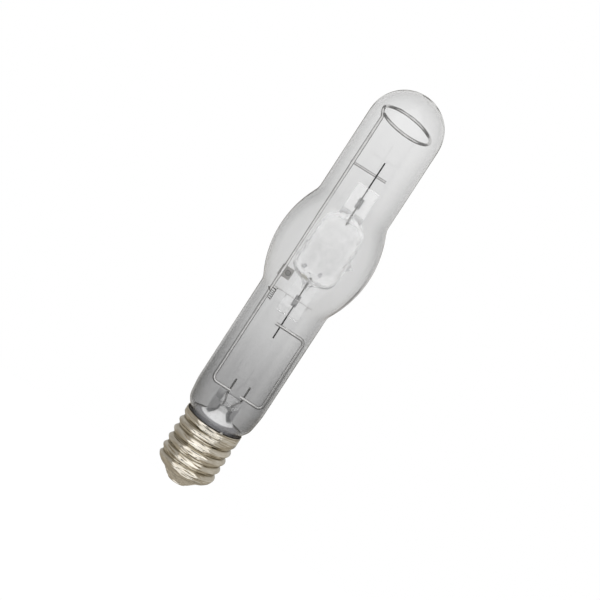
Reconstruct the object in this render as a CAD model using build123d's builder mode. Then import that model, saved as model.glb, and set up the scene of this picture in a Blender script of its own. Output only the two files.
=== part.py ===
from build123d import *
from math import asin, cos, hypot, pi, radians, sin
import os

# A metal halide discharge lamp with a large screw cap, in millimetres.
# The origin is the tip of the centre contact. +Z runs along the lamp's axis to the dome,
# +X is the side of the return wire and the filling pip, -Y is the side that shows both wire welds.

# Outer bulb: blown glass, tube, bulge, tube and dome
bulb_wall = 1.1
neck_r = 17.0
neck_bottom_z = 36.0
neck_top_z = 46.0
shoulder_r = 22.4
shoulder_z = 51.5
lower_tube_r = 23.7
lower_tube_start_z = 64.0
bulge_start_z = 141.0
bulge_r = 32.7
bulge_z = 175.2
bulge_end_z = 207.6
upper_tube_r = 25.0
dome_z = 268.2
neck_fillet_r = 1.2
shoulder_fillet_r = 5.0
bulge_start_fillet_r = 9.0
bulge_end_fillet_r = 5.0

# Stem: flared glass tube with a flat press, and the exhaust tube that hangs from it
stem_wall = 1.1
stem_tube_r = 4.75
stem_tube_x = 1.2
flare_lip_h = 10.5
flare_h = 8.0
flare_curve = [(0, 1), (0.1, 0.84), (0.26, 0.63), (0.46, 0.43), (0.7, 0.2), (0.9, 0.04), (1, 0)]
press_x = 2.1
press_w = 13.0
press_t = 4.0
press_h = 5.5
press_blend_h = 3.5
stem_tube_h = 2.5
exhaust_r = 2.0
exhaust_wall = 0.7
exhaust_end_z = 22.0

# Wires of the mount
frame_wire_r = 1.1
crossbar_r = 0.9
lead_r = 0.6
cap_wire_r = 0.2
shell_lead_x = -2.9
contact_lead_x = 7.2
lead_spread = 2.75
lead_top_z = 76.5
lead_bend_r = 1.6
lead_bottom_z = 42.0
weld_gap = 0.02
shell_wire_turn_z = 34.2
shell_wire_bend_in = 1.5
contact_wire_turn_z = 24.0
contact_wire_centre_z = 14.0
frame_side_x = -15.9
frame_foot_z = 68.5
frame_bend_r = 3.6
ring_r = 17.9
ring_x = -0.37
ring_z = 272.0
ring_tilt_x = -0.09
ring_tilt_y = 0.08
ring_wire_jog_h = 5.5
ring_entry_deg = 14.0
ring_gap_deg = 33.0
ring_bend_r = 3.2
return_foot_x = 5.0
return_side_x = 20.0
return_top_z = 120.7
return_end_x = -1.4
return_bend_r = 3.2
crossbar_z = 233.4
crossbar_start_x = -17.4
crossbar_end_x = 8.1

# Arc tube: quartz body, symmetric above and below its middle
arc_x = 1.6
arc_z = 176.4
arc_r = 15.6
arc_wall = 2.0
arc_half_h = 13.4
arc_end_r = 7.5
arc_throat_h = 4.1
arc_pocket_r = 2.2
arc_pocket_h = 4.5
pinch_w = 15.6
pinch_t = 4.2
pinch_blend_h = 8.6
pinch_end_h = 48.4
pip_z = 175.2
pip_h = 4.3
pip_root_r = 2.2
pip_tip_r = 0.6
seal_gap = 0.05

# Conductors of the arc tube
arc_lead_r = 0.5
upper_lead_x = 1.2
upper_lead_end_z = 243.9
lower_lead_x = 2.1
lower_lead_end_z = 111.2
foil_w = 3.5
foil_t = 0.1
foil_h = 7.3
foil_start_h = 33.3
foil_lap = 1.6
electrode_tip_h = 20.5
electrode_r = 0.5
coil_wire_r = 0.38
coil_start_h = 21.9
coil_turns = 4
coil_pitch = 1.1

# Fill: mercury and salts that lie on the wall of the chamber
drop_r = 1.6
drop_sink = 0.3
drop_places = [(140, 60), (66, 70)]
salt_r = 9.0
salt_t = 0.7
salt_place = (-110, 60)

# Small parts on the frame wire
getter_strap_x = -13.5
getter_strap_w = 8.4
getter_strap_h = 7.6
getter_strap_z = 147.6
getter_strap_t = 0.4
getter_disc_x = -12.1
getter_disc_z = 151.6
getter_disc_r = 1.9
getter_disc_t = 0.4
starter_x = -13.4
starter_r = 1.2
starter_wire_r = 0.225
starter_turns = 6
starter_pitch = 1.45
tie_wire_r = 0.35
tie_z = 137.4
tie_tilt = 35.0
tie_opening = 60.0
pinch_wire_r = 0.3
pinch_wire_z = 140.6
pinch_wire_start_x = -14.3
pinch_wire_end_x = 13.0
pinch_wire_tick_h = 2.0
pinch_wire_ticks = [-7.2, 8.3]

# Screw cap with rolled thread
thread_major_d = 39.3
thread_minor_d = 35.9
thread_pitch = 6.35
crest_flat = 0.5
valley_z = 36.0
groove_start_turn = -3.75
groove_end_turn = 0.5
run_in_turns = 0.25
run_out_turns = 0.4
steps_per_turn = 24
shell_wall = 0.35
shell_rim_z = 46.0
shell_end_curve = [(6.25, 6.6), (3.65, 7.9), (1.35, 10.0), (0, 13.0)]

# Insulator, contact, solder and cement in the cap
insulator_nose_r = 8.0
insulator_nose_z = 1.9
insulator_step_r = 10.5
insulator_step_z = 4.2
insulator_floor = 3.5
insulator_bore_r = 6.0
insulator_top_z = 12.0
insulator_rim_in = 1.5
contact_r = 7.0
contact_flat_r = 4.8
contact_h = 1.9
contact_wire_hole_r = 0.6
solder_r = 2.0
solder_h = 0.5
side_solder_r = 1.3
side_solder_deg = -67.0
cement_top_z = 46.4
cement_chamfer = 1.0
cement_step_z = 43.8
cement_bottom_z = 38.0
cement_lip = 0.2

# Places that follow from the sizes above
bulb_inner_neck_r = neck_r - bulb_wall
stem_lip_z = neck_bottom_z + flare_lip_h
stem_tube_z = stem_lip_z + flare_h
stem_blend_z = stem_tube_z + stem_tube_h
press_bottom_z = stem_blend_z + press_blend_h
press_top_z = press_bottom_z + press_h
frame_y = -(frame_wire_r + lead_r + weld_gap)
arc_lead_y = frame_y + frame_wire_r + arc_lead_r + weld_gap
foil_y = arc_lead_y + arc_lead_r + foil_t / 2
foil_end_h = foil_start_h + foil_h
arc_neck_r = arc_r - arc_end_r
arc_neck_h = arc_half_h + arc_end_r
pinch_start_h = arc_neck_h + pinch_blend_h
chamber_end_r = arc_end_r - arc_wall
arc_pocket_start_h = arc_neck_h - arc_wall + arc_throat_h
arc_pocket_end_h = arc_pocket_start_h + arc_pocket_h
coil_centre_r = electrode_r + coil_wire_r + weld_gap
pinch_wire_y = -(pinch_t / 2 + pinch_wire_r + weld_gap)
starter_top_z = pinch_wire_z - pinch_wire_r - starter_wire_r - weld_gap
strap_front_y = frame_y + frame_wire_r + weld_gap
thread_major_r = thread_major_d / 2
thread_minor_r = thread_minor_d / 2
thread_depth = thread_major_r - thread_minor_r
shell_inner_r = thread_major_r - shell_wall
shell_valley_inner_r = thread_minor_r - shell_wall
shell_wire_r = neck_r + seal_gap + cap_wire_r
shell_wire_end_r = shell_inner_r - cap_wire_r
shell_end = [(thread_major_r - inwards, z) for inwards, z in shell_end_curve]
os.makedirs("parts", exist_ok=True)


def inset(points, wall):
    """Move a polyline of (r, z) points inwards by a wall, with mitred corners."""
    moved = []
    for k, (r, z) in enumerate(points):
        before = points[max(k - 1, 0)]
        after = points[min(k + 1, len(points) - 1)]
        normals = []
        for start, end in ((before, (r, z)), ((r, z), after)):
            length = hypot(end[0] - start[0], end[1] - start[1])
            if length:
                normals.append(((start[1] - end[1]) / length, (end[0] - start[0]) / length))
        nr = sum(n[0] for n in normals) / len(normals)
        nz = sum(n[1] for n in normals) / len(normals)
        scale = wall / (nr**2 + nz**2)
        moved.append((r + nr * scale, z + nz * scale))
    return moved


def groove(grow):
    """Rolled thread groove as ruled sections along the helix.

    Crest and valley are equal tangent arcs. Growing the groove by the sheet's wall
    gives the same thread on the inside of the shell.
    """
    half_pitch = thread_pitch / 2
    arc_radius = (thread_depth**2 + half_pitch**2) / (4 * thread_depth)
    tangent = asin(half_pitch / (2 * arc_radius))
    crest_radius = arc_radius - grow
    crest = asin(crest_flat / 2 / crest_radius)
    side = []
    for angle in (crest, (crest + tangent) / 2):
        r = thread_major_r - arc_radius + crest_radius * cos(angle)
        side.append((r, -half_pitch + crest_radius * sin(angle)))
    for share in (1, 0.5):
        r = thread_minor_r + arc_radius - (arc_radius + grow) * cos(tangent * share)
        side.append((r, -(arc_radius + grow) * sin(tangent * share)))
    bottom = [(thread_minor_r - grow, 0)]
    profile = side + bottom + [(r, -z) for r, z in reversed(side)]
    lid_r = thread_major_r + 1.5 * thread_depth
    run_in = round(run_in_turns * steps_per_turn)
    full = round((groove_end_turn - groove_start_turn) * steps_per_turn)
    run_out = round(run_out_turns * steps_per_turn)
    with BuildPart() as cutter:
        for step in range(-run_in, full + run_out + 1):
            shallow = max(-step / run_in, (step - full) / run_out, 0)
            lift = shallow * (thread_depth + 0.1)
            turn = groove_start_turn + step / steps_per_turn
            along = radians(360 * turn)
            section = [(r + lift, z) for r, z in profile]
            lid = [(lid_r, section[-1][1]), (lid_r, section[0][1])]
            with BuildSketch(
                Plane(
                    origin=(0, 0, valley_z + turn * thread_pitch),
                    x_dir=(cos(along), sin(along), 0),
                    z_dir=(sin(along), -cos(along), 0),
                )
            ):
                with BuildLine():
                    Polyline(section + lid, close=True)
                make_face()
        loft(ruled=True)
    return cutter.part


def round_wire(points, radii, wire_r):
    """A round wire along straight runs joined by tangent bends."""
    with BuildPart() as wire:
        with BuildLine() as path:
            if radii:
                FilletPolyline(*points, radius=radii)
            else:
                Line(*points)
        with BuildSketch(Plane(origin=path.line @ 0, z_dir=path.line % 0)):
            Circle(wire_r)
        sweep(path=path.line)
    return wire.part


def spiral(centre_r, wire_r, pitch, turns, centre, steps=10):
    """A wire spiral about a vertical axis, from its lowest turn up, in ruled spans."""
    with BuildPart() as coil:
        for step in range(turns * steps + 1):
            along = radians(360 * step / steps)
            x_dir = (cos(along), sin(along), 0)
            origin = (
                centre[0] + centre_r * x_dir[0],
                centre[1] + centre_r * x_dir[1],
                centre[2] + pitch * step / steps,
            )
            with BuildSketch(Plane(origin=origin, x_dir=x_dir, z_dir=(-x_dir[1], x_dir[0], 0))):
                RegularPolygon(wire_r, 5)
        loft(ruled=True)
    return coil.part


# Outer bulb: one blown envelope, from the neck in the cap to the dome
with BuildPart() as outer_bulb:
    with BuildSketch(Plane.XZ):
        with BuildLine():
            FilletPolyline(
                (neck_r, neck_bottom_z),
                (neck_r, neck_top_z),
                (shoulder_r, shoulder_z),
                (lower_tube_r, lower_tube_start_z),
                (lower_tube_r, bulge_start_z),
                radius=[neck_fillet_r, shoulder_fillet_r, 6 * shoulder_fillet_r],
            )
            ThreePointArc((lower_tube_r, bulge_start_z), (bulge_r, bulge_z), (upper_tube_r, bulge_end_z))
            Line((upper_tube_r, bulge_end_z), (upper_tube_r, dome_z))
            CenterArc((0, dome_z), upper_tube_r, 0, 90)
            start_corner = vertices().sort_by_distance((lower_tube_r, bulge_start_z, 0))[0]
            fillet(start_corner, bulge_start_fillet_r)
            end_corner = vertices().sort_by_distance((upper_tube_r, bulge_end_z, 0))[0]
            fillet(end_corner, bulge_end_fillet_r)
            offset(amount=bulb_wall, side=Side.LEFT)
        make_face()
    revolve(axis=Axis.Z)
outer_bulb.part.label = "outer_bulb"
export_step(outer_bulb.part, "parts/outer_bulb.step")

# Leads: two stiff wires that lie side by side in the stem and spread in its press
shell_lead_points = [
    (shell_lead_x, 0, lead_top_z),
    (shell_lead_x, 0, press_top_z - lead_bend_r / 2),
    (stem_tube_x - lead_spread, 0, press_bottom_z),
    (stem_tube_x - lead_spread, 0, lead_bottom_z),
]
contact_lead_points = [
    (contact_lead_x, 0, lead_top_z),
    (contact_lead_x, 0, press_top_z - lead_bend_r / 2),
    (stem_tube_x + lead_spread, 0, press_bottom_z),
    (stem_tube_x + lead_spread, 0, lead_bottom_z),
]
lead_bends = [lead_bend_r, lead_bend_r]
with BuildPart() as shell_lead:
    add(round_wire(shell_lead_points, lead_bends, lead_r))
shell_lead.part.label = "shell_lead"
export_step(shell_lead.part, "parts/shell_lead.step")

with BuildPart() as contact_lead:
    add(round_wire(contact_lead_points, lead_bends, lead_r))
contact_lead.part.label = "contact_lead"
export_step(contact_lead.part, "parts/contact_lead.step")

# Stem: flare sealed in the neck, tube and flat press, one piece of glass round the two leads
with BuildPart() as glass_stem:
    for wall, mode in ((0, Mode.ADD), (stem_wall, Mode.SUBTRACT)):
        with BuildSketch(Plane.XY.offset(neck_bottom_z)):
            Circle(bulb_inner_neck_r - wall)
        extrude(amount=flare_lip_h, mode=mode)
        for share, spread in flare_curve:
            ring_r_here = stem_tube_r + (bulb_inner_neck_r - stem_tube_r) * spread
            with BuildSketch(Plane((stem_tube_x * share, 0, stem_lip_z + flare_h * share))):
                Circle(ring_r_here - wall)
        loft(mode=mode)
        with BuildSketch(Plane((stem_tube_x, 0, stem_tube_z))):
            Circle(stem_tube_r - wall)
        extrude(amount=stem_tube_h, mode=mode)
    with BuildSketch(Plane((stem_tube_x, 0, stem_blend_z))):
        Circle(stem_tube_r)
    with BuildSketch(Plane((press_x, 0, press_bottom_z))):
        RectangleRounded(press_w, press_t, press_t * 0.3)
    loft()
    with BuildSketch(Plane((press_x, 0, press_bottom_z))):
        RectangleRounded(press_w, press_t, press_t * 0.3)
    extrude(amount=press_h)
    for points in (shell_lead_points, contact_lead_points):
        add(round_wire(points, lead_bends, lead_r + seal_gap), mode=Mode.SUBTRACT)
glass_stem.part.label = "glass_stem"
export_step(glass_stem.part, "parts/glass_stem.step")

# Exhaust tube: joins the stem under the press and is melted shut at its lower end
with BuildPart() as exhaust_tube:
    with BuildSketch(Plane.XZ.shift_origin((stem_tube_x, 0, 0))):
        with BuildLine():
            Line((0, exhaust_end_z), (0, exhaust_end_z + exhaust_wall))
            RadiusArc(
                (0, exhaust_end_z + exhaust_wall),
                (exhaust_r - exhaust_wall, exhaust_end_z + exhaust_r),
                -(exhaust_r - exhaust_wall),
            )
            Line(
                (exhaust_r - exhaust_wall, exhaust_end_z + exhaust_r),
                (exhaust_r - exhaust_wall, stem_blend_z),
            )
            Line((exhaust_r - exhaust_wall, stem_blend_z), (exhaust_r, stem_blend_z))
            Line((exhaust_r, stem_blend_z), (exhaust_r, exhaust_end_z + exhaust_r))
            RadiusArc((exhaust_r, exhaust_end_z + exhaust_r), (0, exhaust_end_z), exhaust_r)
        make_face()
    revolve(axis=Axis((stem_tube_x, 0, 0), (0, 0, 1)))
exhaust_tube.part.label = "exhaust_tube"
export_step(exhaust_tube.part, "parts/exhaust_tube.step")

# Thin wires in the cap: one to the shell's rim, one to the centre contact
solder_dir = (cos(radians(side_solder_deg)), sin(radians(side_solder_deg)))
shell_wire_points = [
    (stem_tube_x - lead_spread, 0, lead_bottom_z),
    (stem_tube_x - lead_spread, 0, shell_wire_turn_z),
    (shell_wire_r * solder_dir[0], shell_wire_r * solder_dir[1], shell_wire_turn_z),
    (shell_wire_r * solder_dir[0], shell_wire_r * solder_dir[1], shell_rim_z - shell_wire_bend_in),
    (shell_wire_end_r * solder_dir[0], shell_wire_end_r * solder_dir[1], shell_rim_z + solder_h),
]
shell_wire_bends = [4 * cap_wire_r] * 3
with BuildPart() as shell_wire:
    add(round_wire(shell_wire_points, shell_wire_bends, cap_wire_r))
shell_wire.part.label = "shell_wire"
export_step(shell_wire.part, "parts/shell_wire.step")

with BuildPart() as contact_wire:
    add(
        round_wire(
            [
                (stem_tube_x + lead_spread, 0, lead_bottom_z),
                (stem_tube_x + lead_spread, 0, contact_wire_turn_z),
                (0, 0, contact_wire_centre_z),
                (0, 0, solder_h),
            ],
            [8 * cap_wire_r, 8 * cap_wire_r],
            cap_wire_r,
        )
    )
contact_wire.part.label = "contact_wire"
export_step(contact_wire.part, "parts/contact_wire.step")

# Frame wire: from the shell lead up one side and into the ring that steadies the frame in the dome
ring_plane = Plane(
    origin=(ring_x, frame_y, ring_z),
    x_dir=(1, 0, ring_tilt_x),
    z_dir=(-ring_tilt_x, -ring_tilt_y, 1),
)
ring_corner_r = ring_r / cos(radians(ring_entry_deg))
ring_start_deg = 180 - ring_entry_deg
ring_end_deg = -(180 - ring_gap_deg)
ring_points = [
    ring_plane.from_local_coords(
        (ring_r * cos(radians(angle)), ring_r * sin(radians(angle)), 0)
    )
    for angle in (ring_start_deg, (ring_start_deg + ring_end_deg) / 2, ring_end_deg)
]
ring_corner = ring_plane.from_local_coords((-ring_corner_r, 0, 0))
with BuildPart() as frame_wire:
    with BuildLine() as frame_path:
        FilletPolyline(
            (shell_lead_x + lead_r, frame_y, frame_foot_z),
            (frame_side_x, frame_y, frame_foot_z),
            (frame_side_x, frame_y, ring_corner.Z - ring_wire_jog_h),
            ring_corner,
            ring_points[0],
            radius=[frame_bend_r, frame_bend_r, ring_bend_r],
        )
        ThreePointArc(*ring_points)
    with BuildSketch(Plane(origin=frame_path.line @ 0, z_dir=frame_path.line % 0)):
        Circle(frame_wire_r)
    sweep(path=frame_path.line)
frame_wire.part.label = "frame_wire"
export_step(frame_wire.part, "parts/frame_wire.step")

# Return wire: from the contact lead up the other side and over to the lower lead
with BuildPart() as return_wire:
    add(
        round_wire(
            [
                (return_foot_x, frame_y, frame_foot_z),
                (return_side_x, frame_y, frame_foot_z),
                (return_side_x, frame_y, return_top_z),
                (return_end_x, frame_y, return_top_z),
            ],
            [return_bend_r, return_bend_r],
            frame_wire_r,
        )
    )
return_wire.part.label = "return_wire"
export_step(return_wire.part, "parts/return_wire.step")

# Upper crossbar: welded behind the frame wire and behind the upper lead
bar_frame_y = frame_y + frame_wire_r + crossbar_r + weld_gap
bar_lead_y = arc_lead_y + arc_lead_r + crossbar_r + weld_gap
bar_slope = (bar_lead_y - bar_frame_y) / (upper_lead_x - frame_side_x)
with BuildPart() as upper_crossbar:
    add(
        round_wire(
            [
                (x, bar_frame_y + bar_slope * (x - frame_side_x), crossbar_z)
                for x in (crossbar_start_x, crossbar_end_x)
            ],
            None,
            crossbar_r,
        )
    )
upper_crossbar.part.label = "upper_crossbar"
export_step(upper_crossbar.part, "parts/upper_crossbar.step")

# Arc tube: quartz body of revolution, pinched flat at both ends round its conductors
arc_axis = Axis((arc_x, 0, arc_z), (0, 0, 1))
arc_plane = Plane(origin=(arc_x, 0, arc_z), x_dir=(1, 0, 0), z_dir=(0, -1, 0))
with BuildPart() as chamber:
    with BuildSketch(arc_plane):
        with BuildLine():
            Line((0, 0), (arc_r - arc_wall, 0))
            Line((arc_r - arc_wall, 0), (arc_r - arc_wall, arc_half_h))
            CenterArc((arc_neck_r, arc_half_h), chamber_end_r, 0, 90)
            Polyline(
                (arc_neck_r, arc_half_h + chamber_end_r),
                (arc_pocket_r, arc_pocket_start_h),
                (arc_pocket_r, arc_pocket_end_h),
                (0, arc_pocket_end_h),
                (0, 0),
            )
        make_face()
        mirror(about=Plane.XZ)
    revolve(axis=arc_axis)

with BuildPart() as arc_tube:
    with BuildSketch(arc_plane):
        with BuildLine():
            Line((0, 0), (arc_r, 0))
            Line((arc_r, 0), (arc_r, arc_half_h))
            CenterArc((arc_neck_r, arc_half_h), arc_end_r, 0, 90)
            Line((arc_neck_r, arc_neck_h), (0, arc_neck_h))
            Line((0, arc_neck_h), (0, 0))
        make_face()
        mirror(about=Plane.XZ)
    revolve(axis=arc_axis)
    for up in (1, -1):
        with BuildSketch(Plane(origin=(arc_x, 0, arc_z + up * arc_neck_h), z_dir=(0, 0, up))):
            Circle(arc_neck_r)
        with BuildSketch(Plane(origin=(arc_x, 0, arc_z + up * pinch_start_h), z_dir=(0, 0, up))):
            RectangleRounded(pinch_w, pinch_t, pinch_t * 0.4)
        loft()
        with BuildSketch(Plane(origin=(arc_x, 0, arc_z + up * pinch_start_h), z_dir=(0, 0, up))):
            RectangleRounded(pinch_w, pinch_t, pinch_t * 0.4)
        extrude(amount=pinch_end_h - pinch_start_h)
    for out, pip_r in ((-arc_wall / 2, pip_root_r), (pip_h / 2, pip_root_r * 0.7), (pip_h, pip_tip_r)):
        with BuildSketch(Plane(origin=(arc_x + arc_r + out, 0, pip_z), z_dir=(1, 0, 0))):
            Circle(pip_r)
    loft()
    add(chamber.part, mode=Mode.SUBTRACT)
    for up, lead_x in ((1, upper_lead_x), (-1, lower_lead_x)):
        with Locations((arc_x, foil_y, arc_z + up * (foil_start_h + foil_h / 2))):
            Box(
                foil_w + 2 * seal_gap,
                foil_t + 2 * seal_gap,
                foil_h + 2 * seal_gap,
                mode=Mode.SUBTRACT,
            )
        with BuildSketch(Plane(origin=(arc_x, arc_lead_y, arc_z), z_dir=(0, 0, up))):
            Circle(electrode_r + seal_gap)
        extrude(amount=foil_start_h + foil_lap + seal_gap, mode=Mode.SUBTRACT)
        lead_start_z = arc_z + up * (foil_end_h - foil_lap - seal_gap)
        with BuildSketch(Plane(origin=(lead_x, arc_lead_y, lead_start_z), z_dir=(0, 0, up))):
            Circle(arc_lead_r + seal_gap)
        extrude(amount=pinch_end_h, mode=Mode.SUBTRACT)
arc_tube.part.label = "arc_tube"
export_step(arc_tube.part, "parts/arc_tube.step")

# Molybdenum foils in the pinches
with BuildPart() as upper_foil:
    with Locations((arc_x, foil_y, arc_z + foil_start_h + foil_h / 2)):
        Box(foil_w, foil_t, foil_h)
upper_foil.part.label = "upper_foil"
export_step(upper_foil.part, "parts/upper_foil.step")

with BuildPart() as lower_foil:
    with Locations((arc_x, foil_y, arc_z - foil_start_h - foil_h / 2)):
        Box(foil_w, foil_t, foil_h)
lower_foil.part.label = "lower_foil"
export_step(lower_foil.part, "parts/lower_foil.step")

# Outer leads, welded on the front of the foils
with BuildPart() as upper_lead:
    with BuildSketch(Plane((upper_lead_x, arc_lead_y, arc_z + foil_end_h - foil_lap))):
        Circle(arc_lead_r)
    extrude(amount=upper_lead_end_z - (arc_z + foil_end_h - foil_lap))
upper_lead.part.label = "upper_lead"
export_step(upper_lead.part, "parts/upper_lead.step")

with BuildPart() as lower_lead:
    with BuildSketch(Plane((lower_lead_x, arc_lead_y, lower_lead_end_z))):
        Circle(arc_lead_r)
    extrude(amount=arc_z - foil_end_h + foil_lap - lower_lead_end_z)
lower_lead.part.label = "lower_lead"
export_step(lower_lead.part, "parts/lower_lead.step")

# Electrode rods, welded on the front of the foils, and the tungsten coils wound on them
electrode_h = foil_start_h + foil_lap - electrode_tip_h
with BuildPart() as upper_electrode:
    with BuildSketch(Plane((arc_x, arc_lead_y, arc_z + electrode_tip_h))):
        Circle(electrode_r)
    extrude(amount=electrode_h)
upper_electrode.part.label = "upper_electrode"
export_step(upper_electrode.part, "parts/upper_electrode.step")

with BuildPart() as lower_electrode:
    with BuildSketch(Plane((arc_x, arc_lead_y, arc_z - electrode_tip_h - electrode_h))):
        Circle(electrode_r)
    extrude(amount=electrode_h)
lower_electrode.part.label = "lower_electrode"
export_step(lower_electrode.part, "parts/lower_electrode.step")

coil_h = coil_turns * coil_pitch
with BuildPart() as upper_electrode_coil:
    coil_centre = (arc_x, arc_lead_y, arc_z + coil_start_h)
    add(spiral(coil_centre_r, coil_wire_r, coil_pitch, coil_turns, coil_centre))
upper_electrode_coil.part.label = "upper_electrode_coil"
export_step(upper_electrode_coil.part, "parts/upper_electrode_coil.step")

with BuildPart() as lower_electrode_coil:
    coil_centre = (arc_x, arc_lead_y, arc_z - coil_start_h - coil_h)
    add(spiral(coil_centre_r, coil_wire_r, coil_pitch, coil_turns, coil_centre))
lower_electrode_coil.part.label = "lower_electrode_coil"
export_step(lower_electrode_coil.part, "parts/lower_electrode_coil.step")


def wall_place(place, inwards):
    """A point over the chamber's lower end, by its bearing, its dip and its distance from the wall."""
    bearing, dip = radians(place[0]), radians(place[1])
    reach = chamber_end_r - inwards
    r = arc_neck_r + reach * cos(dip)
    return (arc_x + r * cos(bearing), r * sin(bearing), arc_z - arc_half_h - reach * sin(dip))


# Fill: mercury drops and a crust of salts, each lying on the chamber's wall
with BuildPart() as drop_balls:
    with Locations(*[wall_place(place, drop_r - drop_sink) for place in drop_places]):
        Sphere(drop_r)
with BuildPart() as mercury_drops:
    add(drop_balls.part)
    add(chamber.part, mode=Mode.INTERSECT)
mercury_drops.part.label = "mercury_drops"
export_step(mercury_drops.part, "parts/mercury_drops.step")

with BuildPart() as halide_salts:
    with Locations(wall_place(salt_place, salt_t - salt_r)):
        Sphere(salt_r)
    add(chamber.part, mode=Mode.INTERSECT)
halide_salts.part.label = "halide_salts"
export_step(halide_salts.part, "parts/halide_salts.step")

# Getter: a plate behind the frame wire with the getter pill on its front
with BuildPart() as getter_strap:
    with BuildSketch(Plane(origin=(0, strap_front_y, 0), x_dir=(1, 0, 0), z_dir=(0, -1, 0))):
        with Locations((getter_strap_x, getter_strap_z + getter_strap_h / 2)):
            RectangleRounded(getter_strap_w, getter_strap_h, getter_strap_t)
    extrude(amount=-getter_strap_t)
getter_strap.part.label = "getter_strap"
export_step(getter_strap.part, "parts/getter_strap.step")

with BuildPart() as getter_disc:
    with BuildSketch(Plane(origin=(getter_disc_x, strap_front_y, getter_disc_z), z_dir=(0, -1, 0))):
        Circle(getter_disc_r)
    extrude(amount=getter_disc_t)
    chamfer(getter_disc.faces().sort_by(Axis.Y)[0].edges(), getter_disc_t * 0.4)
getter_disc.part.label = "getter_disc"
export_step(getter_disc.part, "parts/getter_disc.step")

# Starter coil beside the frame wire, the tie round the frame wire, and the wire across the pinch
with BuildPart() as starter_coil:
    starter_centre = (starter_x, pinch_wire_y, starter_top_z - starter_turns * starter_pitch)
    add(spiral(starter_r, starter_wire_r, starter_pitch, starter_turns, starter_centre))
starter_coil.part.label = "starter_coil"
export_step(starter_coil.part, "parts/starter_coil.step")

tie_r = (frame_wire_r + tie_wire_r + weld_gap) / cos(radians(tie_tilt))
tie_plane = Plane(
    origin=(frame_side_x, frame_y, tie_z),
    x_dir=(cos(radians(tie_tilt)), 0, -sin(radians(tie_tilt))),
    z_dir=(sin(radians(tie_tilt)), 0, cos(radians(tie_tilt))),
)
with BuildPart() as frame_tie:
    with BuildLine(tie_plane) as tie_path:
        CenterArc((0, 0), tie_r, tie_opening, 360 - 2 * tie_opening)
    with BuildSketch(Plane(origin=tie_path.line @ 0, z_dir=tie_path.line % 0)):
        Circle(tie_wire_r)
    sweep(path=tie_path.line)
frame_tie.part.label = "frame_tie"
export_step(frame_tie.part, "parts/frame_tie.step")

with BuildPart() as pinch_wire:
    with BuildSketch(Plane(origin=(pinch_wire_start_x, pinch_wire_y, pinch_wire_z), z_dir=(1, 0, 0))):
        Circle(pinch_wire_r)
    extrude(amount=pinch_wire_end_x - pinch_wire_start_x)
    with BuildSketch(Plane((arc_x, pinch_wire_y, pinch_wire_z))):
        with Locations(*[(x, 0) for x in pinch_wire_ticks]):
            Circle(pinch_wire_r * 0.95)
    extrude(amount=-pinch_wire_tick_h)
pinch_wire.part.label = "pinch_wire"
export_step(pinch_wire.part, "parts/pinch_wire.step")

# Screw shell: thin sheet with the rolled thread, curled in at its end over the insulator
shell_inner_end = inset(shell_end, shell_wall)
with BuildPart() as shell_hollow:
    with BuildSketch(Plane.XZ):
        with BuildLine():
            Polyline(
                (0, shell_end[0][1] - shell_wall),
                (shell_inner_end[0][0], shell_end[0][1] - shell_wall),
                *shell_inner_end[:-1],
                (shell_inner_r, shell_inner_end[-1][1]),
                (shell_inner_r, shell_rim_z + shell_wall),
                (0, shell_rim_z + shell_wall),
                close=True,
            )
        make_face()
    revolve(axis=Axis.Z)
    add(groove(shell_wall), mode=Mode.SUBTRACT)

with BuildPart() as screw_shell:
    with BuildSketch(Plane.XZ):
        with BuildLine():
            Polyline(
                (0, shell_end[0][1]),
                *shell_end,
                (thread_major_r, shell_rim_z),
                (0, shell_rim_z),
                close=True,
            )
        make_face()
    revolve(axis=Axis.Z)
    add(groove(0), mode=Mode.SUBTRACT)
    add(shell_hollow.part, mode=Mode.SUBTRACT)
screw_shell.part.label = "screw_shell"
export_step(screw_shell.part, "parts/screw_shell.step")

# Insulator: closes the shell's end and carries the centre contact
with BuildPart() as cap_insulator:
    with BuildSketch(Plane.XZ):
        with BuildLine():
            Polyline(
                (contact_wire_hole_r, insulator_nose_z),
                (insulator_nose_r, insulator_nose_z),
                (insulator_step_r, insulator_step_z),
                *shell_inner_end[:3],
                (shell_inner_end[2][0] - insulator_rim_in, insulator_top_z),
                (insulator_bore_r, insulator_top_z),
                (insulator_bore_r, insulator_nose_z + insulator_floor),
                (contact_wire_hole_r, insulator_nose_z + insulator_floor),
                close=True,
            )
        make_face()
    revolve(axis=Axis.Z)
cap_insulator.part.label = "cap_insulator"
export_step(cap_insulator.part, "parts/cap_insulator.step")

# Centre contact: a plate with a rounded edge, a wire hole and a pocket for its solder
with BuildPart() as centre_contact:
    with BuildSketch(Plane.XZ):
        with BuildLine():
            Line((solder_r, solder_h), (solder_r, 0))
            Line((solder_r, 0), (contact_flat_r, 0))
            TangentArc((contact_flat_r, 0), (contact_r, contact_h), tangent=(1, 0))
            Line((contact_r, contact_h), (contact_wire_hole_r, contact_h))
            Line((contact_wire_hole_r, contact_h), (contact_wire_hole_r, solder_h))
            Line((contact_wire_hole_r, solder_h), (solder_r, solder_h))
        make_face()
    revolve(axis=Axis.Z)
centre_contact.part.label = "centre_contact"
export_step(centre_contact.part, "parts/centre_contact.step")

with BuildPart() as contact_solder:
    with BuildSketch(Plane.XY):
        Circle(solder_r)
    extrude(amount=solder_h)
contact_solder.part.label = "contact_solder"
export_step(contact_solder.part, "parts/contact_solder.step")

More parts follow.
